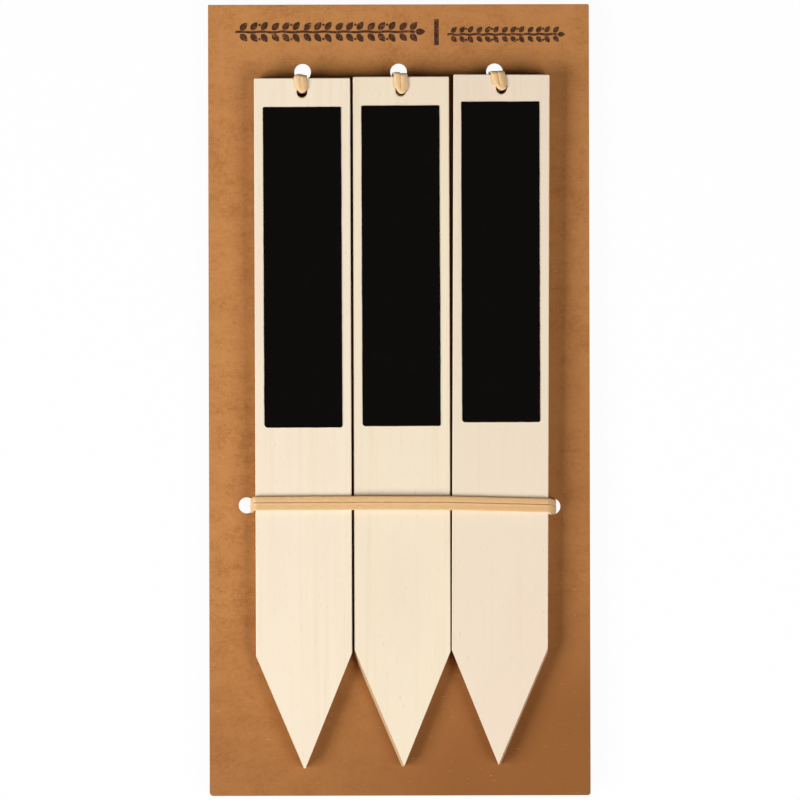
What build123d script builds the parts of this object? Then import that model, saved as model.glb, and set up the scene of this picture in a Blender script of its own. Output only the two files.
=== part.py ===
from build123d import *
from math import asin, atan2, cos, degrees, radians, sin, sqrt

# A shop pack of three chalkboard plant labels: a kraft card, three pointed wooden stakes
# tied to it side by side, and a doubled rubber band across them. The pack lies on its back:
# X runs across the card, Y up the card, Z out of its printed face. The origin is under the
# middle of the card, level with the undersides of the knots that it rests on.

# Card
card_side_margin = 13.75
card_length = 247.4
card_thickness = 1.2
card_corner_radius = 1.5
tie_hole_diameter = 5.2
tie_hole_pitch_shortfall = 0.8
tie_hole_from_top = 21.1
band_hole_diameter = 5.0
band_hole_from_stakes = 2.0
left_band_hole_from_top = 156.55
right_band_hole_from_top = 157.1

# Stakes
stake_width = 30.0
stake_length = 215.5
stake_straight_length = 180.3
stake_thickness = 4.0
middle_stake_thickness = 3.5
stake_tip_width = 0.8
stake_corner_radius = 0.5
stake_eased_edge = 0.2
stake_hole_diameter = 3.3
stake_hole_from_top = 4.4
stake_hole_eased_edge = 0.3
stake_gap = 0.8
middle_stake_shift = 0.8
left_stake_top_margin = 23.1
middle_stake_top_margin = 22.7
right_stake_top_margin = 22.1
stake_saw_skew = 0.7

# Each stake lies a little askew, and some point cuts lean
left_stake_turn = 0.08
middle_stake_turn = 0.05
right_stake_turn = -0.29
left_saw_lean = 4.0
middle_saw_lean = 13.0
right_saw_lean = 9.0
square_saw_lean = 1.0

# Chalk panels
panel_width = 24.4
panel_length = 100.1
panel_thickness = 0.15
panel_from_top = 9.05
right_panel_from_top = 8.5
panel_top_radius = 0.3
panel_left_radius = 1.1
panel_right_radius = 0.5
panel_turn = 0.06
right_panel_turn = 0.34
middle_panel_shift = -0.15
right_panel_shift = -0.1

# Rubber strand, ties and band
strand_width = 2.2
strand_thickness = 0.9
strand_chamfer = 0.3
strand_overlap = 0.15
strand_layer_gap = 0.1
strand_bend = 0.15
tie_width_in_hole = 3.0
pressed_tie_width = 2.8
pressed_tie_thickness = 0.98
tie_clearance = 0.08
tie_front_clearance = 0.22
tie_rim_clearance = 0.1
left_tie_drift = -0.6
middle_tie_drift = 0.7
right_tie_drift = 0.95
left_tie_set = 0.2
middle_tie_set = -0.33
right_tie_set = -0.3
band_from_top = 156.35
band_turn = -0.55
band_clearance = 0.1
band_edge_bend = 0.45
left_band_foot = 1.5
right_band_foot = 0.6

# Knots behind the card
knot_height = 3.0
knot_width = 6.2
knot_length = 4.4
knot_from_hole = 5.6
knot_bevel = 1.3
knot_eased_edge = 0.55
knot_wrap_radius = 0.62
knot_wrap_sides = 8
knot_wrap_turn = 24.0
knot_wrap_share = 0.80
knot_tail_length = 6.5
knot_tail_rise_share = 0.35
band_knot_shift = -3.0

# Clearances
knot_clearance = 0.05
rest_clearance = 0.05

# Levels and places worked out from the sizes
card_back = knot_height + knot_clearance
card_front = card_back + card_thickness
card_top = card_length / 2
stake_pitch = stake_width + stake_gap
stakes_half_width = stake_pitch + stake_width / 2
card_width = 2 * (stakes_half_width + card_side_margin)
tie_hole_pitch = stake_pitch - tie_hole_pitch_shortfall
strand_half_width = strand_width / 2
strand_half_thickness = strand_thickness / 2
strand_bend_radius = strand_bend + strand_half_thickness
pressed_half_thickness = pressed_tie_thickness / 2
outer_layer_step = strand_half_thickness + strand_layer_gap + pressed_half_thickness
tie_row = card_top - tie_hole_from_top

# The rear run of each tie lifts the top end of its stake off the card
stake_lift = pressed_tie_thickness + 2 * tie_clearance
stake_pitch_angle = degrees(asin((stake_lift - rest_clearance) / (stake_length - stake_hole_from_top)))


class Side:
    """The places and small differences of one stake of the pack."""

    def __init__(self, name, order, margin, turn, thickness):
        self.name = name
        self.hole_x = order * tie_hole_pitch
        self.top_y = card_top - margin
        self.thickness = thickness
        middle_x = middle_stake_shift + order * stake_pitch
        self.top_x = middle_x - sin(radians(turn)) * stake_length / 2
        self.top_z = card_front + rest_clearance + stake_length * sin(radians(stake_pitch_angle))
        self.plane = Plane(
            origin=(self.top_x, self.top_y, self.top_z),
            x_dir=(cos(radians(turn)), sin(radians(turn)), 0),
            z_dir=(
                sin(radians(turn)) * sin(radians(stake_pitch_angle)),
                -cos(radians(turn)) * sin(radians(stake_pitch_angle)),
                cos(radians(stake_pitch_angle)),
            ),
        )

    def at(self, x, y, z):
        """The point that lies x across, y along and z above the back of the stake."""
        return self.plane.from_local_coords(Vector(x, y, z))

    def towards(self, x, y, z):
        """The direction that the stake calls x across, y along and z up."""
        return self.at(x, y, z) - self.plane.origin


left = Side("left", -1, left_stake_top_margin, left_stake_turn, stake_thickness)
left.skew = stake_saw_skew
left.leans = (left_saw_lean, square_saw_lean)
left.panel = (0, panel_from_top, panel_turn)
left.tie = (left_tie_drift, left_tie_set)

middle = Side("middle", 0, middle_stake_top_margin, middle_stake_turn, middle_stake_thickness)
middle.skew = stake_saw_skew
middle.leans = (middle_saw_lean, square_saw_lean)
middle.panel = (middle_panel_shift, panel_from_top, panel_turn)
middle.tie = (middle_tie_drift, middle_tie_set)

right = Side("right", 1, right_stake_top_margin, right_stake_turn, stake_thickness)
right.skew = -stake_saw_skew / 2
right.leans = (square_saw_lean, right_saw_lean)
right.panel = (right_panel_shift, right_panel_from_top, right_panel_turn)
right.tie = (right_tie_drift, right_tie_set)

sides = (left, middle, right)


def keep(part, name):
    """Label a finished piece and write it out."""
    part.label = name
    export_step(part, "parts/" + name + ".step")


# Card: a kraft blank with a row of punched holes for the ties and one at each side for the band
left_band_hole = (-stakes_half_width - band_hole_from_stakes, card_top - left_band_hole_from_top)
right_band_hole = (stakes_half_width + band_hole_from_stakes, card_top - right_band_hole_from_top)

with BuildPart() as card:
    with BuildSketch(Plane.XY.offset(card_back)):
        RectangleRounded(card_width, card_length, card_corner_radius)
        with Locations((0, tie_row)):
            with GridLocations(tie_hole_pitch, 0, len(sides), 1):
                Circle(tie_hole_diameter / 2, mode=Mode.SUBTRACT)
        with Locations(left_band_hole, right_band_hole):
            Circle(band_hole_diameter / 2, mode=Mode.SUBTRACT)
    extrude(amount=card_thickness)


# Stake: a planed board with eased edges, its point sawn by two leaning cuts, one hole drilled through
def make_stake(side):
    upright = Axis(side.plane.origin, side.plane.z_dir)
    with BuildPart() as stake:
        with BuildSketch(side.plane):
            with Locations((0, -stake_length / 2)):
                Rectangle(stake_width, stake_length)
        extrude(amount=side.thickness)
        fillet(stake.edges().filter_by(upright).sort_by(Axis.Y)[-2:], radius=stake_corner_radius)
        faces = stake.faces().sort_by(upright)
        chamfer(faces[0].edges() + faces[-1].edges(), length=stake_eased_edge)

        for hand, lean in zip((-1, 1), side.leans):
            shoulder = stake_straight_length - hand * side.skew
            slope = atan2((stake_width - stake_tip_width) / 2, stake_length - shoulder)
            level = cos(radians(lean))
            outward = side.towards(hand * cos(slope) * level, -sin(slope) * level, sin(radians(lean)))
            saw_cut = Plane(origin=side.at(hand * stake_width / 2, -shoulder, 0), z_dir=outward)
            split(bisect_by=saw_cut, keep=Keep.BOTTOM)

        with BuildSketch(side.plane):
            with Locations((0, -stake_hole_from_top)):
                Circle(stake_hole_diameter / 2)
        extrude(amount=side.thickness, mode=Mode.SUBTRACT)
        hole_rims = stake.edges().filter_by(GeomType.CIRCLE).sort_by(SortBy.RADIUS)[-2:]
        chamfer(hole_rims, length=stake_hole_eased_edge)
    return stake.part


# Chalk panel: black film, its lower corners rounded where the knife went round
def make_chalk_panel(side):
    shift, from_top, turn = side.panel
    with BuildPart() as panel:
        with BuildSketch(side.plane.offset(side.thickness)) as film:
            with Locations(Location((shift, -from_top - panel_length / 2, 0), (0, 0, turn))):
                Rectangle(panel_width, panel_length)
            corners = film.vertices().sort_by(Axis.Y)
            left_corner, right_corner = corners[:2].sort_by(Axis.X)
            fillet(corners[2:], radius=panel_top_radius)
            fillet(film.vertices().sort_by_distance(left_corner)[0], radius=panel_left_radius)
            fillet(film.vertices().sort_by_distance(right_corner)[0], radius=panel_right_radius)
        extrude(amount=panel_thickness)
    return panel.part


# Strand: a flat strip of rubber with its corners worn off
def draw_strand(width, thickness):
    with BuildSketch(mode=Mode.PRIVATE) as strand:
        Rectangle(width, thickness)
        chamfer(strand.vertices(), length=strand_chamfer)
    add(strand.sketch)


# Knot: a bun of rubber pulled tight, one turn slanting across its waist, and two short tails.
# The strands come in along Y, and the knot is pressed flat above and below.
def make_knot():
    turn_half_width = knot_width / 2 - knot_wrap_radius / 2
    turn_half_height = knot_height / 2 - knot_wrap_radius
    tail_reach = knot_width / 2 + knot_tail_length
    with BuildPart() as knot:
        with BuildSketch() as bun:
            Rectangle(knot_width, knot_length)
            chamfer(bun.vertices(), length=knot_bevel)
        extrude(amount=knot_height / 2, both=True)
        knot_faces = knot.faces().sort_by(Axis.Z)
        chamfer(knot_faces[0].edges() + knot_faces[-1].edges(), length=knot_eased_edge)

        wrap = Plane.XZ.rotated((0, 0, knot_wrap_turn))
        with BuildLine(wrap) as turn:
            FilletPolyline(
                (turn_half_width, turn_half_height),
                (turn_half_width, -turn_half_height),
                (-turn_half_width, -turn_half_height),
                (-turn_half_width, turn_half_height),
                radius=turn_half_height * knot_wrap_share,
                close=True,
            )
        with BuildSketch(Plane(origin=turn.line @ 0, z_dir=turn.line % 0)):
            RegularPolygon(knot_wrap_radius, knot_wrap_sides)
        sweep(path=turn.line)

        for hand in (-1, 1):
            with BuildLine() as tail:
                FilletPolyline(
                    (0, 0),
                    (hand * knot_width * (1 + knot_tail_rise_share) / 2, -hand * knot_wrap_radius),
                    (hand * tail_reach, hand * knot_tail_length * knot_tail_rise_share),
                    radius=strand_width,
                )
            with BuildSketch(Plane(origin=tail.line @ 0, x_dir=(-hand * knot_wrap_radius, 1, 0), z_dir=tail.line % 0)):
                draw_strand(strand_width, strand_thickness)
            sweep(path=tail.line)

        split(bisect_by=Plane.XY.offset(knot_height / 2), keep=Keep.BOTTOM)
        split(bisect_by=Plane.XY.offset(-knot_height / 2), keep=Keep.TOP)
    return knot.part


# How far a flat strand can lie from the middle of the card's hole before its corners meet the rim
def play_in_tie_hole(width, thickness):
    corner_across = (width - thickness) / 2
    corner_reach = (tie_hole_diameter - thickness) / 2 - tie_rim_clearance
    return sqrt(corner_reach**2 - corner_across**2)


# How far the outer layer can slide up the card before one of its corners meets the rim
def travel_in_tie_hole(across, up):
    corner_across = (tie_width_in_hole - strand_thickness) / 2 + abs(across)
    corner_reach = (tie_hole_diameter - strand_thickness) / 2 - tie_rim_clearance
    return sqrt(corner_reach**2 - corner_across**2) - up


# Tie: one strand wound twice. From the knot it comes up through the card's hole, goes over the top
# of the stake, down its front and in at the stake's hole. Its two turns lie side by side and crowd
# together in the holes. Behind the stake they are pressed into one flat strap, which pulls straight
# back to the card's hole, through it and on to the knot.
def make_tie(side, knot):
    drift, setting = side.tie
    hole_y = setting - stake_hole_from_top
    card_hole = Vector(side.hole_x, tie_row, 0)
    stake_hole = side.at(0, hole_y, 0)
    towards = Vector(stake_hole.X - card_hole.X, stake_hole.Y - card_hole.Y, 0).normalized()
    across = Vector(-towards.Y, towards.X, 0)

    skin = tie_front_clearance + strand_half_thickness
    low_play = play_in_tie_hole(pressed_tie_width, pressed_tie_thickness)
    inner = card_hole + towards * low_play
    outer = card_hole + towards * (low_play - outer_layer_step)
    outer.Y = max(outer.Y, side.top_y + skin)
    travel = travel_in_tie_hole(outer.X - card_hole.X, outer.Y - card_hole.Y)
    print(side.name, "tie can travel", round(travel, 2), "mm up the card's hole")

    edge = side.at(side.hole_x + drift - side.top_x, skin, side.thickness + skin)
    front_way = Vector(stake_hole.X - edge.X, stake_hole.Y - edge.Y, 0).normalized()
    front_towards = (front_way - Vector(0, 1, 0)).normalized()
    front_across = Vector(-front_towards.Y, front_towards.X, 0)
    front_end = outer + front_towards * knot_from_hole
    rear_end = inner + towards * knot_from_hole
    knot_place = (front_end + rear_end) / 2
    up = Vector(0, 0, 1)
    inner_z = card_back - tie_clearance - pressed_half_thickness
    outer_z = inner_z - outer_layer_step
    rear_z = card_front + tie_clearance + pressed_half_thickness
    hole_spread = side.towards((tie_width_in_hole - strand_width) / 2, 0, 0)
    edge_spread = side.towards(strand_half_width - strand_overlap / 2, 0, 0)

    with BuildPart() as tie:
        for hand in (-1, 1):
            aside = hole_spread * hand
            with BuildLine() as front_run:
                FilletPolyline(
                    front_end + aside + up * outer_z,
                    outer + aside + up * outer_z,
                    outer + aside + up * card_front,
                    edge + edge_spread * hand,
                    side.at(0, hole_y, side.thickness + skin) + aside,
                    side.at(0, hole_y, 0) + aside,
                    radius=(
                        strand_bend_radius + outer_layer_step,
                        strand_width,
                        strand_bend_radius,
                        strand_bend_radius,
                    ),
                )
            section = Plane(origin=front_run.line @ 0, x_dir=front_across, z_dir=front_run.line % 0)
            with BuildSketch(section):
                draw_strand(strand_width, strand_thickness)
            sweep(path=front_run.line)

        with BuildLine() as rear_run:
            FilletPolyline(
                stake_hole + up * side.thickness / 2,
                Vector(stake_hole.X, stake_hole.Y, rear_z),
                inner + up * rear_z,
                inner + up * inner_z,
                rear_end + up * inner_z,
                radius=strand_bend + pressed_half_thickness,
            )
        with BuildSketch(Plane(origin=rear_run.line @ 0, x_dir=across, z_dir=rear_run.line % 0)):
            draw_strand(pressed_tie_width, pressed_tie_thickness)
        sweep(path=rear_run.line)

        facing = degrees(atan2(knot_place.X - card_hole.X, card_hole.Y - knot_place.Y))
        with Locations(Location((knot_place.X, knot_place.Y, knot_height / 2), (0, 0, facing))):
            add(knot)
    return tie.part


# Band: the same strand wound twice round the card and the stakes, pinched by the rims of its holes
def make_cross_band(knot, card):
    band_y = card_top - band_from_top
    reach = {side.name: side.top_y - band_y for side in (left, right)}
    left_edge = left.top_x + reach["left"] * sin(radians(left_stake_turn)) - stake_width / 2
    right_edge = right.top_x + reach["right"] * sin(radians(right_stake_turn)) + stake_width / 2
    stake_front = left.top_z - reach["left"] * sin(radians(stake_pitch_angle)) + stake_thickness
    front_z = stake_front + band_clearance + strand_half_thickness
    back_z = card_back - rest_clearance - strand_half_thickness
    edge_skin = band_clearance + strand_half_thickness
    spread = strand_half_width - strand_overlap / 2
    bend = band_edge_bend + strand_half_thickness
    course = Plane(
        origin=(0, band_y, 0),
        x_dir=(cos(radians(band_turn)), sin(radians(band_turn)), 0),
        z_dir=(sin(radians(band_turn)), -cos(radians(band_turn)), 0),
    )
    left_foot = left_band_hole[0] + left_band_foot
    right_foot = right_band_hole[0] + right_band_foot

    with BuildPart() as band:
        with BuildLine(course) as turn:
            FilletPolyline(
                (right_edge + edge_skin, front_z),
                (right_foot, card_front),
                (right_foot, back_z),
                (left_foot, back_z),
                (left_foot, card_front),
                (left_edge - edge_skin, front_z),
                radius=bend,
                close=True,
            )
        with BuildSketch(Plane(origin=turn.line @ 0, x_dir=course.z_dir, z_dir=turn.line % 0)):
            with Locations((-spread, 0), (spread, 0)):
                draw_strand(strand_width, strand_thickness)
        sweep(path=turn.line)
        print("cross band turn is", round(sum(edge.length for edge in turn.edges()), 1), "mm round")
        with Locations(Location((band_knot_shift, band_y, knot_height / 2), (0, 0, 90 + band_turn))):
            add(knot)
        add(card, mode=Mode.SUBTRACT)
    return band.part


keep(card.part, "backing_card")
knot_part = make_knot()
for side in sides:
    keep(make_stake(side), side.name + "_stake")
    keep(make_chalk_panel(side), side.name + "_chalk_panel")
    keep(make_tie(side, knot_part), side.name + "_tie")
keep(make_cross_band(knot_part, card.part), "cross_band")
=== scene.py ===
import bpy
from math import atan2, cos, exp, pi, radians, sin, sqrt
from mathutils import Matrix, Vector, noise
from mathutils.geometry import delaunay_2d_cdt


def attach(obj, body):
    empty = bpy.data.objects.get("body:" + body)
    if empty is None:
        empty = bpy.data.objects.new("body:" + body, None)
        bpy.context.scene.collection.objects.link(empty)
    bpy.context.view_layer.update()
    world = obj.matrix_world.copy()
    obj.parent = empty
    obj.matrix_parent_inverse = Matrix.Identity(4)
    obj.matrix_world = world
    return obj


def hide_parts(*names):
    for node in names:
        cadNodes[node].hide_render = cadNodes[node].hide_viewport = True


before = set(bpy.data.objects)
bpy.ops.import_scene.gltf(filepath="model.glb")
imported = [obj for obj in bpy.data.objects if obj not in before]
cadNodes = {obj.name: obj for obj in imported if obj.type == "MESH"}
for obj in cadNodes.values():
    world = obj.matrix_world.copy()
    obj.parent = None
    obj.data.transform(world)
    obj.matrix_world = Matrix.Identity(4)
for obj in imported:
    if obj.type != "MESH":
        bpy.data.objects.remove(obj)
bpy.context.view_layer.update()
mm = 0.001
print("frame loaded:", len(cadNodes), "pieces")


def paint(red, green, blue):  # a colour as it looks on screen, 0 to 255
    parts = [c / 255 for c in (red, green, blue)]
    return tuple(c / 12.92 if c < 0.04045 else ((c + 0.055) / 1.055) ** 2.4 for c in parts) + (1.0,)


class Wire:  # one socket of a material, so that its maths reads as plain sums
    def __init__(self, finish, socket):
        self.finish = finish
        self.socket = socket

    def __add__(self, other):
        return self.finish.maths("ADD", self, other)

    def __radd__(self, other):
        return self.finish.maths("ADD", other, self)

    def __sub__(self, other):
        return self.finish.maths("SUBTRACT", self, other)

    def __rsub__(self, other):
        return self.finish.maths("SUBTRACT", other, self)

    def __mul__(self, other):
        return self.finish.maths("MULTIPLY", self, other)

    def __rmul__(self, other):
        return self.finish.maths("MULTIPLY", other, self)


class Finish:  # one material and the few node recipes that all of them share
    def __init__(self, name, plain):
        self.material = bpy.data.materials.new(name)
        self.material.use_nodes = True
        self.tree = self.material.node_tree
        self.tree.nodes.clear()
        self.shader = self.tree.nodes.new("ShaderNodeBsdfPrincipled")
        self.output = self.tree.nodes.new("ShaderNodeOutputMaterial")
        self.tree.links.new(self.shader.outputs[0], self.output.inputs[0])
        for socketName, value in plain.items():
            self.set(socketName, value)

    def feed(self, socket, value):
        if isinstance(value, Wire):
            self.tree.links.new(value.socket, socket)
        else:
            socket.default_value = value

    def set(self, socketName, value):  # a value or a wire on the shader itself
        self.feed(self.shader.inputs[socketName], value)

    def node(self, kind, settings=None, feeds=None, out=0):
        made = self.tree.nodes.new("ShaderNode" + kind)
        for key, value in (settings or {}).items():
            setattr(made, key, value)
        for key, value in (feeds or {}).items():
            self.feed(made.inputs[key], value)
        return Wire(self, made.outputs[out])

    def maths(self, how, first, second):
        return self.node("Math", {"operation": how}, {0: first, 1: second})

    def clamp(self, value):
        return self.node("Clamp", None, {"Value": value})

    def place(self):  # the point of the piece, in millimetres
        point = self.node("TexCoord", out=3)
        return self.node("Mapping", None, {"Vector": point, "Scale": (1 / mm,) * 3})

    def stretch(self, place, scale, turn=0.0):
        feeds = {"Vector": place, "Scale": scale, "Rotation": (0, 0, radians(turn))}
        return self.node("Mapping", None, feeds)

    def cloud(self, place, size, detail=3.0, roughness=0.5, shift=0.0):  # size of a blotch in mm
        offset = (shift, shift * 0.7, shift * 0.3)
        moved = self.node("VectorMath", {"operation": "ADD"}, {0: place, 1: offset})
        feeds = {"Vector": moved, "Scale": 1 / size, "Detail": detail, "Roughness": roughness}
        return self.node("TexNoise", None, feeds)

    def ease(self, value, low, high):  # 0 below low, 1 above high, smooth between
        feeds = {"Value": value, "From Min": low, "From Max": high}
        return self.node("MapRange", {"interpolation_type": "SMOOTHSTEP"}, feeds)

    def mix(self, share, first, second):
        return self.node("Mix", {"data_type": "RGBA"}, {0: share, 6: first, 7: second}, out=2)

    def axis(self, vector, which):  # 0, 1 or 2 for across, along and up
        return self.node("SeparateXYZ", None, {0: vector}, out=which)

    def facing(self):  # 1 where the surface looks up or down, 0 on its cut sides
        normal = self.node("TexCoord", out=1)
        return self.node("Math", {"operation": "ABSOLUTE"}, {0: self.axis(normal, 2)})

    def bump(self, height, depth, strength=1.0):  # depth in mm
        feeds = {"Height": height, "Distance": depth * mm, "Strength": strength}
        self.set("Normal", self.node("Bump", None, feeds))


kraftLook = {
    "base": paint(195, 133, 77),
    "dark": paint(168, 109, 58),
    "light": paint(206, 148, 92),
    "speck": paint(98, 58, 30),
    "straw": paint(222, 172, 118),
    "core": paint(176, 122, 74),
    # the colour of the painted shade toward the foot and the right
    "foot": paint(148, 94, 50),
    "driftSize": 30.0,
    "blotchSize": 5.0,
    "mottleSize": 1.5,
    "grainSize": 0.34,
    "fibreSizes": (0.8, 0.7),
    "speckSize": 0.75,
    "speckShare": 0.8,
    "strawSize": 0.9,
    "strawShare": 0.38,
    "plySize": 1.0,
    "relief": 0.07,
}


def makeKraft():
    look = kraftLook
    kraft = Finish("kraft_board", {"Specular IOR Level": 0.1})
    place = kraft.place()
    drift = kraft.cloud(place, look["driftSize"], detail=2.0)
    blotched = kraft.stretch(place, (0.7, 1.0, 1.0), turn=12.0)
    blotch = kraft.cloud(blotched, look["blotchSize"], detail=4.0, roughness=0.55, shift=17.0)
    mottle = kraft.cloud(place, look["mottleSize"], detail=4.0, roughness=0.65, shift=11.0)
    grain = kraft.cloud(place, look["grainSize"], roughness=0.6, shift=5.0)
    wireWay = kraft.stretch(place, (0.42, 1.5, 1.0), turn=4.0)
    wire = kraft.cloud(wireWay, look["fibreSizes"][0], roughness=0.6, shift=21.0)
    crossWay = kraft.stretch(place, (1.5, 0.5, 1.0), turn=-19.0)
    across = kraft.cloud(crossWay, look["fibreSizes"][1], roughness=0.6, shift=35.0)
    shade = drift * 0.18 + blotch * 0.24 + mottle * 0.20 + grain * 0.16
    shade = shade + wire * 0.12 + across * 0.10
    colour = kraft.mix(0.2 + kraft.ease(shade, 0.40, 0.53) * 0.8, look["dark"], look["base"])
    colour = kraft.mix(kraft.ease(shade, 0.51, 0.62) * 0.5, colour, look["light"])
    placeY = kraft.axis(place, 1)  # painted shade: the board is darkened toward the foot and the right, where the light falls off
    down = kraft.ease(placeY, -45.0, -122.0)
    over = kraft.ease(kraft.axis(place, 0), -60.0, 60.0)
    side = over * (0.23 + kraft.ease(placeY, 60.0, -30.0) * 0.25)
    paintedFalloffShade = kraft.clamp(down * (0.52 + over * 0.20) + side)
    colour = kraft.mix(paintedFalloffShade, colour, look["foot"])
    dots = kraft.cloud(place, look["speckSize"], detail=1.0, shift=51.0)
    colour = kraft.mix(kraft.ease(dots, 0.755, 0.80) * look["speckShare"], colour, look["speck"])
    hairWay = kraft.stretch(place, (0.35, 2.4, 1.0), turn=31.0)
    hairs = kraft.cloud(hairWay, look["strawSize"], detail=1.0, shift=77.0)
    colour = kraft.mix(kraft.ease(hairs, 0.74, 0.80) * look["strawShare"], colour, look["straw"])
    cutEdge = 1 - kraft.ease(kraft.facing(), 0.3, 0.8)
    plyWay = kraft.stretch(place, (0.15, 0.15, 6.0))
    plies = kraft.cloud(plyWay, look["plySize"], detail=2.0, shift=3.0)
    edgeColour = kraft.mix(plies, look["dark"], look["core"])
    kraft.set("Base Color", kraft.mix(cutEdge, colour, edgeColour))
    kraft.set("Roughness", 0.8 + grain * 0.12)
    kraft.bump(grain * 0.7 + mottle * 0.9 + wire * 0.5 + across * 0.4, look["relief"], strength=0.6)
    return kraft.material


# each stake has its own tone, and the tones step darker from left to right as painted shade for the
# light falling off toward the right
woodLook = {
    "left": {
        "base": paint(246, 230, 205), "late": paint(238, 215, 182),
        "blush": paint(244, 222, 202), "shift": 3.0,
    },
    "middle": {
        "base": paint(243, 227, 200), "late": paint(233, 211, 176),
        "blush": paint(241, 218, 196), "shift": 19.0,
    },
    "right": {
        "base": paint(239, 222, 197), "late": paint(229, 206, 176),
        "blush": paint(240, 215, 196), "shift": 41.0,
    },
    "sawn": paint(176, 139, 98),
    "pore": paint(196, 160, 118),
    # the colour of the painted shade inside the stake's hole
    "drilled": paint(74, 46, 24),
    "holeRadius": 1.64,
    "wanderSize": 9.0,
    "ringSize": 1.6,
    "fibreSize": 0.22,
    "warmthSize": 22.0,
    "poreSize": 0.30,
    "bristleSize": 0.35,
    "relief": 0.035,
}


def makeWood(sideName, holeX, holeY):
    look = woodLook[sideName]
    wood = Finish("pale_wood_" + sideName, {"Specular IOR Level": 0.3})
    place = wood.place()
    shift = look["shift"]
    wanderWay = wood.stretch(place, (1.0, 0.05, 1.0))
    wander = wood.cloud(wanderWay, woodLook["wanderSize"], detail=2.0, shift=shift)
    ringWay = wood.stretch(place, (1.0, 0.02, 1.0))
    rings = wood.cloud(ringWay, woodLook["ringSize"], detail=4.0, roughness=0.6, shift=shift + 7.0)
    fibreWay = wood.stretch(place, (1.0, 0.035, 1.0))
    fibre = wood.cloud(fibreWay, woodLook["fibreSize"], roughness=0.65, shift=shift + 13.0)
    late = wood.ease(rings * 0.7 + wander * 0.3, 0.46, 0.70)
    colour = wood.mix(late * 0.42, look["base"], look["late"])
    warmthWay = wood.stretch(place, (1.0, 0.4, 1.0))
    warmth = wood.cloud(warmthWay, woodLook["warmthSize"], detail=2.0, shift=shift + 29.0)
    colour = wood.mix(wood.ease(warmth, 0.45, 0.72) * 0.55, colour, look["blush"])
    poreWay = wood.stretch(place, (1.0, 0.09, 1.0))
    pores = wood.cloud(poreWay, woodLook["poreSize"], detail=1.0, shift=shift + 57.0)
    poreMask = wood.ease(pores, 0.70, 0.80)
    colour = wood.mix(poreMask * 0.35, colour, woodLook["pore"])
    colour = wood.mix(wood.ease(fibre, 0.50, 0.75) * 0.18, colour, look["late"])
    # the cut sides take a darker colour: partly the rougher sawn wood, partly painted shade that
    # tones down the strong light they catch
    sawn = 1 - wood.ease(wood.facing(), 0.25, 0.75)
    bristleWay = wood.stretch(place, (0.5, 0.5, 2.2), turn=20.0)
    bristle = wood.cloud(bristleWay, woodLook["bristleSize"], roughness=0.6, shift=shift + 2.0)
    sawnColour = wood.mix(bristle * 0.4, woodLook["sawn"], look["late"])
    colour = wood.mix(sawn * 0.95, colour, sawnColour)
    flat = wood.node("VectorMath", {"operation": "MULTIPLY"}, {0: place, 1: (1, 1, 0)})
    ends = {0: flat, 1: (holeX, holeY, 0)}
    away = wood.node("VectorMath", {"operation": "DISTANCE"}, ends, out=1)
    # painted shade: the inside of the stake's hole is darkened as the deep shadow there
    paintedHoleShadeMask = 1 - wood.ease(away, woodLook["holeRadius"], woodLook["holeRadius"] + 0.06)
    colour = wood.mix(paintedHoleShadeMask * 0.85, colour, woodLook["drilled"])
    wood.set("Base Color", colour)
    wood.set("Roughness", 0.56 + fibre * 0.14)
    relief = fibre * 0.5 + rings * 0.5 - poreMask * 0.8 + sawn * bristle * 2.0
    wood.bump(relief, woodLook["relief"], strength=0.5)
    return wood.material


filmLook = {
    "base": paint(9, 7, 6),
    "dust": paint(26, 24, 22),
    "scuff": paint(14, 12, 11),
    "cloudySize": 9.0,
    "toothSize": 0.16,
    "dustSize": 0.36,
    "dustShare": 0.7,
    "relief": 0.02,
}


def makeFilm():
    film = Finish("black_chalk_film", {"Specular IOR Level": 0.04})
    place = film.place()
    cloudy = film.cloud(place, filmLook["cloudySize"], detail=4.0, roughness=0.6, shift=2.0)
    tooth = film.cloud(place, filmLook["toothSize"], roughness=0.6, shift=4.0)
    dust = film.cloud(place, filmLook["dustSize"], detail=1.0, shift=9.0)
    colour = film.mix(film.ease(cloudy, 0.5, 0.8) * 0.5, filmLook["base"], filmLook["scuff"])
    dustMask = film.ease(dust, 0.76, 0.82) * filmLook["dustShare"]
    film.set("Base Color", film.mix(dustMask, colour, filmLook["dust"]))
    film.set("Roughness", 0.68 + cloudy * 0.16)
    film.bump(tooth, filmLook["relief"], strength=0.5)
    return film.material


rubberLook = {
    "base": paint(231, 188, 135),
    "ridge": paint(245, 206, 154),
    "shade": paint(207, 160, 104),
    "pink": paint(232, 182, 140),
    "pale": paint(250, 216, 164),
    "streakSize": 0.34,
    "patchSize": 7.0,
    "speckSize": 0.25,
    "paintedShadeShare": 0.28,
    "relief": 0.07,
}


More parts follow.
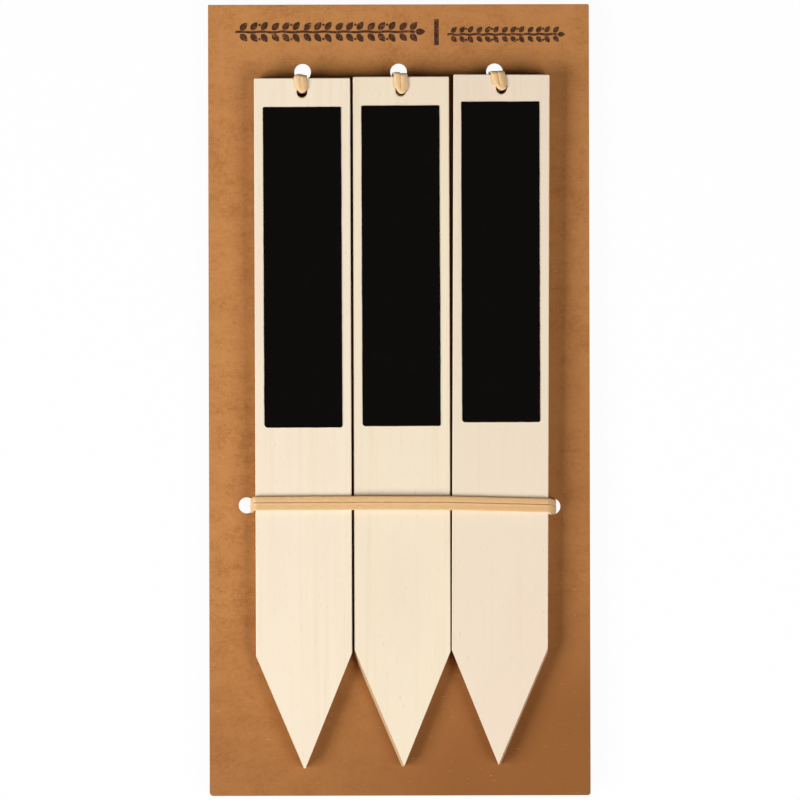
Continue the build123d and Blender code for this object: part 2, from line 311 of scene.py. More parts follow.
def makeRubber(name, along, paintedLightShare):
    look = rubberLook
    rubber = Finish(name, {"Specular IOR Level": 0.35})
    place = rubber.place()
    streakWay = rubber.stretch(place, along)
    streak = rubber.cloud(streakWay, look["streakSize"], roughness=0.6, shift=6.0)
    patch = rubber.cloud(place, look["patchSize"], shift=16.0)
    speck = rubber.cloud(place, look["speckSize"], detail=2.0, shift=27.0)
    colour = rubber.mix(rubber.ease(streak, 0.40, 0.62), look["shade"], look["base"])
    colour = rubber.mix(0.55, colour, look["base"])
    colour = rubber.mix(rubber.ease(streak, 0.55, 0.72) * 0.7, colour, look["ridge"])
    colour = rubber.mix(rubber.ease(patch, 0.5, 0.72) * 0.45, colour, look["pink"])
    # painted light: the rubber is lifted paler, standing in for light the ties miss at the top of
    # the card
    colour = rubber.mix(paintedLightShare, colour, look["pale"])
    paintedRightShade = rubber.ease(rubber.axis(place, 0), -8.0, 46.0) * look["paintedShadeShare"]  # painted shade: the rubber is darkened toward the right, where the light falls off
    rubber.set("Base Color", rubber.mix(paintedRightShade, colour, look["shade"]))
    rubber.set("Roughness", 0.42 + speck * 0.18)
    rubber.bump(streak * 0.8 + speck * 0.2, look["relief"], strength=0.6)
    return rubber.material


inkLook = {
    "base": paint(60, 36, 22),
    "thin": paint(96, 60, 38),
    "blotSize": 0.9,
    "scratchSize": 0.6,
    "wear": 0.85,
}


def makeInk():
    ink = Finish("worn_brown_ink", {"Roughness": 0.8, "Specular IOR Level": 0.2})
    place = ink.place()
    blot = ink.cloud(place, inkLook["blotSize"], detail=4.0, roughness=0.65, shift=8.0)
    scratchWay = ink.stretch(place, (0.35, 3.2, 1.0), turn=12.0)
    scratch = ink.cloud(scratchWay, inkLook["scratchSize"], roughness=0.7, shift=15.0)
    worn = ink.ease(blot * 0.50 + scratch * 0.50, 0.50, 0.60)
    colour = ink.mix(ink.ease(blot, 0.35, 0.65), inkLook["base"], inkLook["thin"])
    ink.set("Base Color", colour)
    ink.set("Alpha", 1 - worn * inkLook["wear"])
    return ink.material


pack = {  # the pack's own places, in mm
    "cardBack": 3.05,
    "cardFront": 4.25,
    "tieRow": 102.6,
    "tiePitch": 30.0,
    "tieHole": 2.56,  # how far from a hole's middle the rubber may reach
    "bandHoles": ((-47.8, -32.85), (47.8, -33.4)),
    "bandHole": 2.46,
    "stakeHole": -4.4,
    "lean": 0.29584,
    "topZ": 5.4127,
}

labels = {
    "left": {"top": (-30.1505, 100.6), "turn": 0.08, "thick": 4.0, "order": -1, "slide": 2.4},
    "middle": {"top": (0.7060, 101.0), "turn": 0.05, "thick": 3.5, "order": 0, "slide": 2.35},
    "right": {"top": (32.1454, 101.6), "turn": -0.29, "thick": 4.0, "order": 1, "slide": 1.8},
}


def onLabel(label, x, y, z):  # x across, y along and z above the back of a stake
    turn = radians(label["turn"])
    lean = radians(pack["lean"])
    across = Vector((cos(turn), sin(turn), 0))
    out = Vector((sin(turn) * sin(lean), -cos(turn) * sin(lean), cos(lean)))
    along = out.cross(across)
    return Vector((*label["top"], pack["topZ"])) + across * x + along * y + out * z


def makePiece(name, points, faces, material, body, smooth=True):
    mesh = bpy.data.meshes.new(name)
    mesh.from_pydata([Vector(p) * mm for p in points], [], faces)
    mesh.materials.append(material)
    mesh.validate()
    for face in mesh.polygons:
        face.use_smooth = smooth
    piece = bpy.data.objects.new(name, mesh)
    bpy.context.scene.collection.objects.link(piece)
    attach(piece, body)
    return piece


cornerSigns = ((-1, -1), (1, -1), (1, 1), (-1, 1))  # lower left, then round to the right


def cornerArcs(wide, long, radii, steps):
    arcs = []
    for n, ((sideX, sideY), radius) in enumerate(zip(cornerSigns, radii)):
        centre = Vector((sideX * (wide / 2 - radius), sideY * (long / 2 - radius)))
        angles = [pi + (n + step / steps) * pi / 2 for step in range(steps + 1)]
        arcs.append([centre + Vector((cos(angle), sin(angle))) * radius for angle in angles])
    return arcs


cardLook = {  # mm
    "wide": 119.1,
    "long": 247.4,
    "corners": (1.2, 0.9, 0.6, 0.2),  # worn unevenly
    "cornerSteps": 6,
    "tieHole": 2.6,
    "bandHole": 2.5,
    "holeSteps": 64,
    "closeness": 0.00001,
}


def punchedHole(x, y, radius):  # runs the other way round than the card's edge
    angles = [-2 * pi * k / cardLook["holeSteps"] for k in range(cardLook["holeSteps"])]
    return [Vector((x + cos(angle) * radius, y + sin(angle) * radius)) for angle in angles]


def makeCard(kraft):
    look = cardLook
    loops = [sum(cornerArcs(look["wide"], look["long"], look["corners"], look["cornerSteps"]), [])]
    for label in labels.values():
        x = label["order"] * pack["tiePitch"]
        loops.append(punchedHole(x, pack["tieRow"], look["tieHole"]))
    for x, y in pack["bandHoles"]:
        loops.append(punchedHole(x, y, look["bandHole"]))
    flat, edges, owner = [], [], []
    for n, loop in enumerate(loops):
        base = len(flat)
        flat += loop
        owner += [n] * len(loop)
        edges += [(base + k, base + (k + 1) % len(loop)) for k in range(len(loop))]
    triangles = []
    for face in delaunay_2d_cdt(flat, edges, [], 1, look["closeness"])[2]:
        touched = {owner[k] for k in face}  # what touches one hole alone is waste of the punch
        if len(touched) > 1 or touched == {0}:
            triangles.append(face)
    count = len(flat)
    points = [Vector((p.x, p.y, pack["cardBack"])) for p in flat]
    points += [Vector((p.x, p.y, pack["cardFront"])) for p in flat]
    faces = [(a, b, b + count, a + count) for a, b in edges]
    faces += [tuple(reversed(face)) for face in triangles]
    faces += [tuple(k + count for k in face) for face in triangles]
    name = "kraft_backing_card"
    card = makePiece(name, points, faces, kraft, "card", smooth=False)
    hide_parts("backing_card")


makeCard(makeKraft())
print("card punched")

for sideName, label in labels.items():  # the stakes keep their solids
    hole = onLabel(label, 0, pack["stakeHole"], 0)
    stake = cadNodes[sideName + "_stake"]
    stake.data.materials.clear()
    stake.data.materials.append(makeWood(sideName, hole.x, hole.y))
print("stakes finished")


panelLook = {  # mm
    "width": 24.4,
    "length": 100.1,
    "thick": 0.15,
    "step": 0.9,
    "wave": 0.055,
    "slowRate": 0.12,
    "quickRate": 0.55,
    "quickShare": 0.6,
    "roll": 0.04,
    "topCorner": 0.35,
    "cornerSteps": 6,
    "left": {"shift": 0.0, "fromTop": 9.05, "turn": 0.06, "corners": (1.15, 0.7), "seed": 3.0},
    "middle": {"shift": -0.15, "fromTop": 9.05, "turn": 0.06, "corners": (1.0, 0.6), "seed": 17.0},
    "right": {"shift": -0.1, "fromTop": 8.5, "turn": 0.34, "corners": (0.9, 0.6), "seed": 31.0},
}


def panelOutline(own):
    radii = (*own["corners"], panelLook["topCorner"], panelLook["topCorner"])
    arcs = cornerArcs(panelLook["width"], panelLook["length"], radii, panelLook["cornerSteps"])
    outline = []
    for arc, following in zip(arcs, arcs[1:] + arcs[:1]):
        first, end = arc[-1], following[0]
        count = int((end - first).length / panelLook["step"])
        outline += arc + [first.lerp(end, k / count) for k in range(1, count)]
    wavy = []  # the film was cut by hand
    for n, point in enumerate(outline):
        way = (outline[(n + 1) % len(outline)] - outline[n - 1]).normalized()
        slowSpot = Vector((*(point * panelLook["slowRate"]), own["seed"]))
        quickSpot = Vector((*(point * panelLook["quickRate"]), own["seed"] + 9))
        uneven = noise.noise(slowSpot) + noise.noise(quickSpot) * panelLook["quickShare"]
        wave = uneven * panelLook["wave"]
        wavy.append(point + Vector((way.y, -way.x)) * wave)
    return wavy


def makePanel(sideName, film):
    own = panelLook[sideName]
    label = labels[sideName]
    outline = panelOutline(own)
    count = len(outline)
    turn = radians(own["turn"])
    thick, roll = panelLook["thick"], panelLook["roll"]
    rows = ((0.0, 0.0), (0.0, thick - roll), (roll * 0.3, thick - roll * 0.3), (roll, thick))
    points = []
    for inset, height in rows:
        for n, point in enumerate(outline):
            way = (outline[(n + 1) % count] - outline[n - 1]).normalized()
            at = point - Vector((way.y, -way.x)) * inset
            x = at.x * cos(turn) - at.y * sin(turn) + own["shift"]
            y = at.x * sin(turn) + at.y * cos(turn) - own["fromTop"] - panelLook["length"] / 2
            points.append(onLabel(label, x, y, label["thick"] + height))
    faces = [tuple(reversed(range(count)))]
    for row in range(len(rows) - 1):
        for n in range(count):
            after = (n + 1) % count
            low, high = row * count, (row + 1) * count
            faces.append((low + n, low + after, high + after, high + n))
    faces.append(tuple(range((len(rows) - 1) * count, len(rows) * count)))
    name, body = sideName + "_panel_film", sideName + "_label"
    panel = makePiece(name, points, faces, film, body, smooth=False)
    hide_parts(sideName + "_chalk_panel")


film = makeFilm()
for sideName in labels:
    makePanel(sideName, film)
print("chalk panels cut")


strandLook = {  # mm
    "width": 2.2,
    "thick": 0.9,
    "ring": 32,
    "square": 2.6,  # 2 is round, more is squarer
    "swell": 0.03,
    "swellRate": 0.3,
    "lipPlace": 0.70,
    "lipSpread": 0.17,
    "bendSteps": 7,
    "runStep": 0.8,
}


def tautLine(stops):  # each stop: point, how far its bend reaches, width, thickness
    line = []
    for n, (point, reach, width, thick) in enumerate(stops):
        here = (*point, width, thick)
        if 0 < n < len(stops) - 1 and reach > 0:
            before = (*stops[n - 1][0], *stops[n - 1][2:])
            after = (*stops[n + 1][0], *stops[n + 1][2:])
            shareIn = reach / (Vector(before[:3]) - Vector(point)).length
            shareOut = reach / (Vector(after[:3]) - Vector(point)).length
            enter = [h + (b - h) * shareIn for h, b in zip(here, before)]
            leave = [h + (a - h) * shareOut for h, a in zip(here, after)]
            for step in range(strandLook["bendSteps"] + 1):
                t = step / strandLook["bendSteps"]
                old, mid, new = (1 - t) ** 2, 2 * t * (1 - t), t * t
                line.append([e * old + h * mid + f * new for e, h, f in zip(enter, here, leave)])
        else:
            line.append(list(here))
    even = [line[0]]
    for here, after in zip(line, line[1:]):
        gap = (Vector(after[:3]) - Vector(here[:3])).length
        parts = max(1, int(gap / strandLook["runStep"]))
        for k in range(1, parts + 1):
            even.append([h + (a - h) * k / parts for h, a in zip(here, after)])
    return even


def strandMesh(line, sideways, points, faces, seed, closed=False, lip=0.0, square=None):
    ring = strandLook["ring"]
    base = len(points)
    count = len(line)
    power = 2 / (square or strandLook["square"])
    for n, (x, y, z, width, thick) in enumerate(line):
        before = line[n - 1] if n or closed else line[0]
        after = line[(n + 1) % count] if n < count - 1 or closed else line[-1]
        way = (Vector(after[:3]) - Vector(before[:3])).normalized()
        across = (sideways - way * sideways.dot(way)).normalized()
        out = way.cross(across)
        spot = Vector((x, y, z)) * strandLook["swellRate"] + Vector((0, 0, seed))
        swell = 1 + strandLook["swell"] * noise.noise(spot)
        for k in range(ring):
            c, s = cos(2 * pi * k / ring), sin(2 * pi * k / ring)
            wide = (abs(c) ** power) * (1 if c > 0 else -1) * width / 2 * swell
            high = (abs(s) ** power) * (1 if s > 0 else -1) * thick / 2
            if lip and s > 0:  # a raised rib along one edge of the strip
                offset = (2 * wide / width - strandLook["lipPlace"]) / strandLook["lipSpread"]
                high += lip * exp(-(offset ** 2))
            points.append(Vector((x, y, z)) + across * wide + out * high)
    for n in range(count if closed else count - 1):
        low = base + n * ring
        high = base + (n + 1) % count * ring
        for k in range(ring):
            turn = (k + 1) % ring
            faces.append((low + k, low + turn, high + turn, high + k))
    if not closed:
        faces.append(tuple(base + k for k in reversed(range(ring))))
        faces.append(tuple(base + (count - 1) * ring + k for k in range(ring)))


pinchLook = {  # how far past the card's faces the pinch still holds
    "tieSpare": 0.8,
    "bandSpare": 0.02,
}


def pinchInHole(points, centreX, centreY, radius, slide=0.0):  # a punched hole squeezes the rubber
    spare = pinchLook["tieSpare"] if slide else pinchLook["bandSpare"]
    for n, point in enumerate(points):
        inCard = pack["cardBack"] - spare < point.z < pack["cardFront"] + spare
        if not inCard or abs(point.x - centreX) > 2 * radius:
            continue
        away = Vector((point.x - centreX, point.y - centreY))
        if slide:  # room for the tie to travel up the hole with its stake
            away.y = min(away.y, sqrt(max(0.0, radius ** 2 - away.x ** 2)) - slide)
        elif away.length > radius:
            away *= radius / away.length
        points[n] = Vector((centreX + away.x, centreY + away.y, point.z))


knotLook = {  # mm
    "size": 0.76,
    "rise": 0.74,
    "strand": 0.60,
    "open": 0.30,  # what the two ends leave free of the loop
    "steps": 90,
    "exit": 0.7,
    "nudge": 0.10,
    "headDrop": 0.15,
    "footDrop": -0.3,
    "tail": 6.2,
    "tailSteps": 8,
    "headWave": (0.5, 0.5),  # how wide and how quick
    "footWave": (0.4, 0.6),
    "sag": (0.25, 0.35),
    "level": 1.5,
    "flatSide": (0.03, 0.02, 1),
}


def knotEnd(start, way, hand, drop):  # a short bend out of the knot
    nudge = Vector((hand * knotLook["nudge"], knotLook["nudge"], drop))
    return [start + way * knotLook["exit"] * k / 3 + nudge * (k / 3) ** 2 for k in (1, 2, 3)]


def knotTail(start, hand, wave):
    steps = knotLook["tailSteps"]
    wide, quick = wave
    depth, speed = knotLook["sag"]
    tail = []
    for k in range(1, steps + 1):
        reach = hand * knotLook["tail"] * k / steps
        tail.append(start + Vector((reach, wide * sin(k * quick), -depth * sin(k * speed))))
    return tail


def knotMesh(x, y, facing, points, faces):  # a tight overhand knot lying behind the card
    size, rise, steps = knotLook["size"], knotLook["rise"], knotLook["steps"]
    loop = []
    for step in range(steps + 1):
        t = knotLook["open"] + (2 * pi - 2 * knotLook["open"]) * step / steps
        across = sin(t) + 2 * sin(2 * t)
        along = cos(t) - 2 * cos(2 * t)
        loop.append(Vector((across * size, along * size, -sin(3 * t) * rise)))
    head = knotEnd(loop[0], (loop[0] - loop[1]).normalized(), -1, knotLook["headDrop"])
    foot = knotEnd(loop[-1], (loop[-1] - loop[-2]).normalized(), 1, knotLook["footDrop"])
    headTail = knotTail(head[-1], -1, knotLook["headWave"])
    footTail = knotTail(foot[-1], 1, knotLook["footWave"])
    path = headTail[::-1] + head[::-1] + loop + foot + footTail
    turn = radians(facing)
    wide = 2 * knotLook["strand"]
    placed = []
    for p in path:
        turnedX = p.x * cos(turn) - p.y * sin(turn)
        turnedY = p.x * sin(turn) + p.y * cos(turn)
        placed.append([x + turnedX, y + turnedY, knotLook["level"] + p.z, wide, wide])
    strandMesh(placed, Vector(knotLook["flatSide"]), points, faces, x)


tieLook = {  # mm
    "skin": 0.49,  # from what a strand lies on to its middle
    "rearSkin": 0.56,
    "knotDrop": 5.6,
    "rearSet": 1.72,
    "flatten": 0.42,
    "left": {
        "drift": -0.62, "set": 0.08, "rise": (1.30, 1.05), "low": (0.0, 0.0),
        "waist": (-2.9, 0.78, 0.0), "spread": 1.03, "vee": (0.95, 0.75), "crown": 0.45,
    },
    "middle": {
        "drift": 0.62, "set": -0.60, "rise": (1.44, 1.12), "low": (-0.8, -0.1),
        "waist": (-3.5, 1.08, 0.12), "spread": 1.05, "vee": (1.35, 0.35), "crown": 0.0,
    },
    "right": {
        "drift": 0.92, "set": -0.22, "rise": (1.08, 1.18), "low": (-0.55, 0.0),
        "waist": (-3.0, 1.08, -0.16), "spread": 1.07, "vee": (0.9, 0.45), "crown": 0.0,
    },
    "front": {  # the stops of a front strand, from its knot to the stake's hole
        "knot": {"apart": 0.30, "level": 1.15, "bend": 0, "width": 0.80},
        "below": {"apart": 0.42, "level": 1.45, "bend": 1.0, "width": 0.85},
        "above": {"apart": 0.42, "level": 4.3, "bend": 0.9, "width": 0.90},
        "edge": {"bend": 0.70, "width": 1.02},
        "waist": {"bend": 0.7, "width": 0.96},
        "hole": {"apart": 0.50, "bend": 0.55, "width": 0.90},
        "inside": {"apart": 0.38, "level": 0.2, "bend": 0, "width": 0.78},
    },
    "tuck": 0.1,
    "dip": 0.08,
    "knotThick": 0.8,
    "rear": {"apart": 0.66, "width": 1.4, "thick": 0.92, "bend": 0.6, "knotApart": 0.7},
}


def between(value):  # a share from 0 to 1
    return min(1.0, max(0.0, value))


veeLook = {
    "fromHeight": 1.0,
    "halfHole": 1.55,
    "halfTie": 2.1,
    "gather": 0.55,
    "power": 1.4,
    "nearHole": -3.5,
    "nearSpan": 0.9,
    "crownFrom": -1.2,
    "crownSpan": 1.4,
    "endGap": 0.03,
    "topGap": 0.02,
    "endZone": -0.6,
}


def pinchStrands(sideName, points):  # a vee at the stake's hole, and edges that lie flat
    label = labels[sideName]
    own = tieLook[sideName]
    start = onLabel(label, 0, 0, 0)
    across = onLabel(label, 1, 0, 0) - start
    along = onLabel(label, 0, 1, 0) - start
    out = onLabel(label, 0, 0, 1) - start
    edgeX = label["order"] * pack["tiePitch"] + own["drift"] - label["top"][0]
    top = label["thick"]
    for n, point in enumerate(points):
        reach = point - start
        x, y, z = reach.dot(across), reach.dot(along), reach.dot(out)
        if z <= veeLook["fromHeight"]:
            continue
        near = between((veeLook["nearHole"] - y) / veeLook["nearSpan"])
        vee = own["vee"][0 if x < 0 else 1]
        crown = between((y - veeLook["crownFrom"]) / veeLook["crownSpan"]) * own["crown"]
        bow = crown * (abs(x - own["drift"]) / veeLook["halfTie"]) ** 2
        moved = along * (vee * near * (abs(x) / veeLook["halfHole"]) ** veeLook["power"] - bow)
        above = z - top
        if above > 0:
            down = y / pack["stakeHole"]
            half = veeLook["halfTie"] - veeLook["gather"] * between(down)
            share = min(1.0, abs(x - edgeX * (1 - down)) / half)
            moved -= out * above * tieLook["flatten"] * share ** 3
        y += moved.dot(along)
        if veeLook["endZone"] < y < veeLook["endGap"] and z < top + veeLook["topGap"]:
            push = veeLook["endGap"] - y  # nothing bites into the end of the wood
            lift = top + veeLook["topGap"] - z
            moved += along * push if push < lift else out * lift
        points[n] = point + moved


def frontStops(sideName, hand, cardHole, knotPlace):
    own = tieLook[sideName]
    label = labels[sideName]
    stops = tieLook["front"]
    which = 0 if hand < 0 else 1
    rise = own["rise"][which] - strandLook["thick"] / 2
    riseY = label["top"][1] + rise
    lowX = cardHole.x + own["low"][which] + stops["below"]["apart"] * hand
    holeY = own["set"] + pack["stakeHole"]
    skin = label["thick"] + tieLook["skin"]
    edgeX = cardHole.x + own["drift"] - label["top"][0]
    waistY, waistSpread, waistShift = own["waist"]
    waistX = edgeX * (1 - waistY / holeY) + waistShift
    places = {
        "knot": (knotPlace.x + stops["knot"]["apart"] * hand, knotPlace.y, stops["knot"]["level"]),
        "below": (lowX, riseY - tieLook["tuck"], stops["below"]["level"]),
        "above": (lowX, riseY, stops["above"]["level"]),
        "edge": onLabel(label, edgeX + own["spread"] * hand, rise, skin),
        "waist": onLabel(label, waistX + waistSpread * hand, waistY, skin),
        "hole": onLabel(label, stops["hole"]["apart"] * hand, holeY, skin - tieLook["dip"]),
        "inside": onLabel(label, stops["inside"]["apart"] * hand, holeY, stops["inside"]["level"]),
    }
    route = []
    for name, stop in stops.items():
        width = strandLook["width"] * stop["width"]
        thick = tieLook["knotThick"] if name == "knot" else strandLook["thick"]
        route.append((Vector(places[name]), stop["bend"], width, thick))
    return route


def makeTie(sideName, rubber):
    label = labels[sideName]
    stakeHole = onLabel(label, 0, tieLook[sideName]["set"] + pack["stakeHole"], 0)
    cardHole = Vector((label["order"] * pack["tiePitch"], pack["tieRow"], 0))
    pull = Vector((stakeHole.x - cardHole.x, stakeHole.y - cardHole.y, 0)).normalized()
    inner = cardHole + pull * tieLook["rearSet"]
    knotPlace = inner + pull * tieLook["knotDrop"]
    points, faces = [], []
    for hand in (-1, 1):
        route = frontStops(sideName, hand, cardHole, knotPlace)
        strandMesh(tautLine(route), Vector((1, 0, 0)), points, faces, hand)
    pinchStrands(sideName, points)
    rear = tieLook["rear"]
    across = Vector((-pull.y, pull.x, 0))
    frontZ = pack["cardFront"] + tieLook["rearSkin"]
    backZ = pack["cardBack"] - tieLook["rearSkin"]
    strap = (rear["bend"], rear["width"], rear["thick"])
    start = stakeHole + Vector((0, 0, label["thick"] / 2))
    end = Vector((knotPlace.x, knotPlace.y, backZ))
    for hand in (-1, 1):
        aside = across * rear["apart"] * hand
        route = [
            (start + aside, 0, rear["width"], strandLook["thick"]),
            (Vector((stakeHole.x, stakeHole.y, frontZ)) + aside, *strap),
            (inner + Vector((0, 0, frontZ)) + aside, *strap),
            (inner + Vector((0, 0, backZ)) + aside, *strap),
            (end + aside * rear["knotApart"], 0, rear["width"], tieLook["knotThick"]),
        ]
        strandMesh(tautLine(route), across, points, faces, hand + 4)
    pinchInHole(points, cardHole.x, cardHole.y, pack["tieHole"], label["slide"])
    knotMesh(knotPlace.x, knotPlace.y, 0, points, faces)
    name, body = sideName + "_tie_strands", sideName + "_label"
    tie = makePiece(name, points, faces, rubber, body)
    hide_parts(sideName + "_tie")


# the ties' rubber carries 0.33 of painted light
tieRubber = makeRubber("natural_rubber_tie", (3.0, 0.25, 1.0), 0.33)
for sideName in labels:
    makeTie(sideName, tieRubber)
print("ties wound")


bandLook = {  # mm
    "front": 9.275,
    "back": 2.55,
    "backY": -32.65,
    "leftEdge": (-45.35, -32.04),
    "bow": ((-8.0, -31.94), (16.0, -32.04)),
    "rightEdge": (46.80, -32.82),
    "leftFoot": (-46.0, -32.84),
    "rightFoot": (48.2, -33.46),
    "footLift": 0.4,
    "footShare": 1.14,
    "leftThick": 1.25,
    "rightThick": 1.8,
    "bends": {"bow": 6.0, "edge": 0.9, "foot": 0.8, "back": 0.75},
    "upper": {"aside": 1.00, "width": 2.08, "lift": 0.0, "lip": 0.0, "seed": 0.0},
    "lower": {"aside": -1.04, "width": 2.62, "lift": 0.07, "lip": 0.17, "seed": 5.0},
    "square": 3.6,
    "knotX": -3.0,
}


def bandRoute(strip):  # one turn: to the right over the front, back behind the card and up again
    bends = bandLook["bends"]
    front = bandLook["front"] + strip["lift"]
    foot = pack["cardFront"] + bandLook["footLift"]
    back = bandLook["back"]
    thick = strandLook["thick"]
    backLeft = (bandLook["leftFoot"][0], bandLook["backY"])
    backRight = (bandLook["rightFoot"][0], bandLook["backY"])
    stops = (
        (bandLook["bow"][0], front, 0, 1.0, thick),
        (bandLook["bow"][1], front, bends["bow"], 1.0, thick),
        (bandLook["rightEdge"], front, bends["edge"], 1.0, thick),
        (bandLook["rightFoot"], foot, bends["foot"], bandLook["footShare"], bandLook["rightThick"]),
        (backRight, back, bends["back"], 1.0, thick),
        (backLeft, back, bends["back"], 1.0, thick),
        (bandLook["leftFoot"], foot, bends["foot"], bandLook["footShare"], bandLook["leftThick"]),
        (bandLook["leftEdge"], front, bends["edge"], 1.0, thick),
        (bandLook["bow"][0], front, 0, 1.0, thick),
    )
    route = []
    for (x, y), z, bend, share, stopThick in stops:
        place = Vector((x, y + strip["aside"] * share, z))
        route.append((place, bend, strip["width"], stopThick))
    return route


def makeBand(rubber):
    points, faces = [], []
    upCard = Vector((0, 1, 0))
    for strip in (bandLook["upper"], bandLook["lower"]):
        line = tautLine(bandRoute(strip))[:-1]
        shape = {"closed": True, "lip": strip["lip"], "square": bandLook["square"]}
        strandMesh(line, upCard, points, faces, strip["seed"], **shape)
    for centreX, centreY in pack["bandHoles"]:
        pinchInHole(points, centreX, centreY, pack["bandHole"])
    knotMesh(bandLook["knotX"], bandLook["backY"], 90, points, faces)
    band = makePiece("cross_band_strands", points, faces, rubber, "card")
    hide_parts("cross_band")


makeBand(makeRubber("natural_rubber_band", (0.12, 3.0, 1.0), 0.0))
print("cross band wound")


ornament = {  # mm
    "lift": 0.002,
    "height": 0.02,
    "stem": 0.75,
    "stemSteps": 60,
    "stemWave": (0.12, 0.9),
    "tip": 1.1,
    "overlap": 0.15,
    "firstLeaf": 0.45,
    "leafLean": (46, 4),
    "leafGap": 0.22,
    "leafSteps": 8,
    "leafFull": 0.85,  # less sets the widest place nearer the foot
    "leafRound": 0.8,
    "berry": {"every": 3, "back": -0.62, "out": 0.70, "radius": 0.40, "steps": 12},
    "left": {"from": -51.0, "to": 8.9, "middle": 115.15, "leaf": 3.2, "fat": 2.0, "pairs": 18},
    "right": {"from": 15.3, "to": 52.6, "middle": 114.25, "leaf": 2.45, "fat": 1.55, "pairs": 14},
    "bar": {"from": 11.15, "to": 12.6, "low": 110.9, "high": 119.1},
}


def addPrint(outline, points, faces):  # a flat printed shape with a hair of thickness
    base = len(points)
    count = len(outline)
    for lift in (ornament["lift"], ornament["height"]):
        points += [Vector((p.x, p.y, pack["cardFront"] + lift)) for p in outline]
    faces.append(tuple(base + k for k in reversed(range(count))))
    faces.append(tuple(base + count + k for k in range(count)))
    for k in range(count):
        after = (k + 1) % count
        faces.append((base + k, base + after, base + count + after, base + count + k))


def leafOutline(foot, way, own):
    side = Vector((-way.y, way.x))
    left, right = [], []
    for k in range(1, ornament["leafSteps"]):
        t = k / ornament["leafSteps"]
        half = own["fat"] / 2 * sin(pi * t ** ornament["leafFull"]) ** ornament["leafRound"]
        left.append(foot + way * own["leaf"] * t + side * half)
        right.append(foot + way * own["leaf"] * t - side * half)
    return [foot] + right + [foot + way * own["leaf"]] + left[::-1]


def berryOutline(centre):
    berry = ornament["berry"]
    angles = [2 * pi * k / berry["steps"] for k in range(berry["steps"])]
    return [centre + Vector((cos(angle), sin(angle))) * berry["radius"] for angle in angles]


def makeGarland(name, own, ink):
    points, faces = [], []
    pitch = (own["to"] - own["from"]) / own["pairs"]
    tipX = own["to"] - pitch * ornament["tip"]
    length = tipX - ornament["overlap"] - own["from"]
    half = ornament["stem"] / 2
    waveHeight, waveRate = ornament["stemWave"]
    steps = ornament["stemSteps"]
    stem = []
    for k in range(steps + 1):
        y = own["middle"] + waveHeight * sin(k * waveRate)
        stem.append(Vector((own["from"] + length * k / steps, y)))
    lower = [p - Vector((0, half)) for p in stem]
    upper = [p + Vector((0, half)) for p in reversed(stem)]
    addPrint(lower + upper, points, faces)
    berry = ornament["berry"]
    lean, leanMore = ornament["leafLean"]
    for n in range(own["pairs"] - 1):
        foot = Vector((own["from"] + pitch * (n + ornament["firstLeaf"]), own["middle"]))
        for hand in (-1, 1):
            angle = radians(lean + leanMore * ((n * 7) % 3)) * hand
            way = Vector((cos(angle), sin(angle)))
            root = foot + Vector((0, hand * (half + ornament["leafGap"])))
            addPrint(leafOutline(root, way, own), points, faces)
            if n % berry["every"] == berry["every"] - 1:
                centre = foot + Vector((berry["back"], hand * own["leaf"] * berry["out"]))
                addPrint(berryOutline(centre), points, faces)
    addPrint(leafOutline(Vector((tipX, own["middle"])), Vector((1, 0)), own), points, faces)
    makePiece(name, points, faces, ink, "card", smooth=False)


def makeBar(ink):
    bar = ornament["bar"]
    points, faces = [], []
    corners = [Vector((bar["from"], bar["low"])), Vector((bar["to"], bar["low"]))]
    corners += [Vector((bar["to"], bar["high"])), Vector((bar["from"], bar["high"]))]
    addPrint(corners, points, faces)
    makePiece("header_divider_bar", points, faces, ink, "card", smooth=False)


ink = makeInk()
makeGarland("header_garland_large", ornament["left"], ink)
makeGarland("header_garland_small", ornament["right"], ink)
makeBar(ink)
print("header printed")


studio = {  # metres
    "frameWidth": 0.25,
    "cameraHeight": 3.0,
    "sharpLevel": 0.006,
    "centreX": 0.00022,
    "roll": -0.13,
    "sensor": 36.0,
    "clip": (0.1, 20),
    "fill": 0.03,
    "left_strip_light": {
        "place": (-2.46, -1.28, 1.54), "wide": 1.28, "tall": 2.56, "power": 131.0,
    },
    "right_strip_light": {
        "place": (1.70, -1.38, 1.58), "wide": 1.28, "tall": 2.66, "power": 58.0,
    },
}

floorLook = {"tone": 0.86, "glow": 0.96, "half": 6.0, "level": -0.00005}


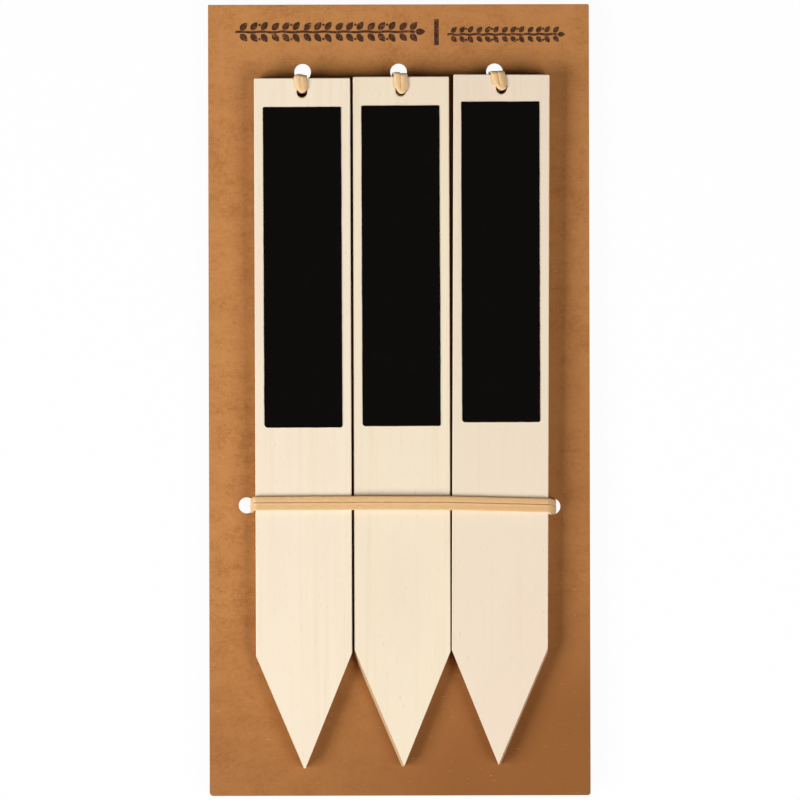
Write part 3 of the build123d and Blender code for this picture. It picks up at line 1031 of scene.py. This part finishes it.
def makeFloor():  # white to the camera, with the pack's own shadow on it
    plain = Finish("pale_floor", {"Roughness": 0.9, "Specular IOR Level": 0.1})
    plain.set("Base Color", (floorLook["tone"], floorLook["tone"], floorLook["tone"], 1))
    glow = plain.node("Emission", None, {"Color": (1, 1, 1, 1), "Strength": 1.0})
    seen = plain.node("LightPath", out="Is Camera Ray")
    seen = seen + plain.node("LightPath", out="Is Glossy Ray")
    seen = plain.clamp(seen + plain.node("LightPath", out="Is Transmission Ray"))
    matt = Wire(plain, plain.shader.outputs[0])
    blend = plain.node("MixShader", None, {0: seen * floorLook["glow"], 1: matt, 2: glow})
    plain.feed(plain.output.inputs[0], blend)
    half = floorLook["half"]
    corners = [(x * half, y * half, 0) for x, y in cornerSigns]
    mesh = bpy.data.meshes.new("floor")
    mesh.from_pydata(corners, [], [(0, 1, 2, 3)])
    mesh.materials.append(plain.material)
    floor = bpy.data.objects.new("floor", mesh)
    floor.location.z = floorLook["level"]
    bpy.context.scene.collection.objects.link(floor)


def makeWorld():  # a faint even fill, and a pale backdrop for the camera alone
    world = bpy.data.worlds.new("studio")
    world.use_nodes = True
    sky = world.node_tree
    sky.nodes.clear()
    fill = sky.nodes.new("ShaderNodeBackground")
    fill.inputs["Color"].default_value = (1, 1, 1, 1)
    fill.inputs["Strength"].default_value = studio["fill"]
    backdrop = sky.nodes.new("ShaderNodeBackground")
    path = sky.nodes.new("ShaderNodeLightPath")
    chosen = sky.nodes.new("ShaderNodeMixShader")
    output = sky.nodes.new("ShaderNodeOutputWorld")
    sky.links.new(path.outputs["Is Camera Ray"], chosen.inputs[0])
    sky.links.new(fill.outputs[0], chosen.inputs[1])
    sky.links.new(backdrop.outputs[0], chosen.inputs[2])
    sky.links.new(chosen.outputs[0], output.inputs[0])
    bpy.context.scene.world = world


def makeLight(name):  # a tall soft box, turned about Y to face the pack
    strip = studio[name]
    lampData = bpy.data.lights.new(name, "AREA")
    lampData.shape = "RECTANGLE"
    lampData.size = strip["wide"]
    lampData.size_y = strip["tall"]
    lampData.energy = strip["power"]
    lamp = bpy.data.objects.new(name, lampData)
    lamp.location = strip["place"]
    lamp.rotation_euler = (0, atan2(strip["place"][0], strip["place"][2]), 0)
    bpy.context.scene.collection.objects.link(lamp)


def makeCamera():  # straight above, with a long lens
    lens = bpy.data.cameras.new("photo_camera")
    lens.sensor_width = studio["sensor"]
    reach = studio["cameraHeight"] - studio["sharpLevel"]
    lens.lens = studio["sensor"] * reach / studio["frameWidth"]
    lens.clip_start, lens.clip_end = studio["clip"]
    camera = bpy.data.objects.new("photo_camera", lens)
    camera.location = (studio["centreX"], 0, studio["cameraHeight"])
    camera.rotation_euler = (0, 0, radians(studio["roll"]))
    bpy.context.scene.collection.objects.link(camera)
    bpy.context.scene.camera = camera


makeFloor()
makeWorld()
makeLight("left_strip_light")
makeLight("right_strip_light")
makeCamera()
bpy.context.scene.view_settings.view_transform = "Standard"
print("studio set")
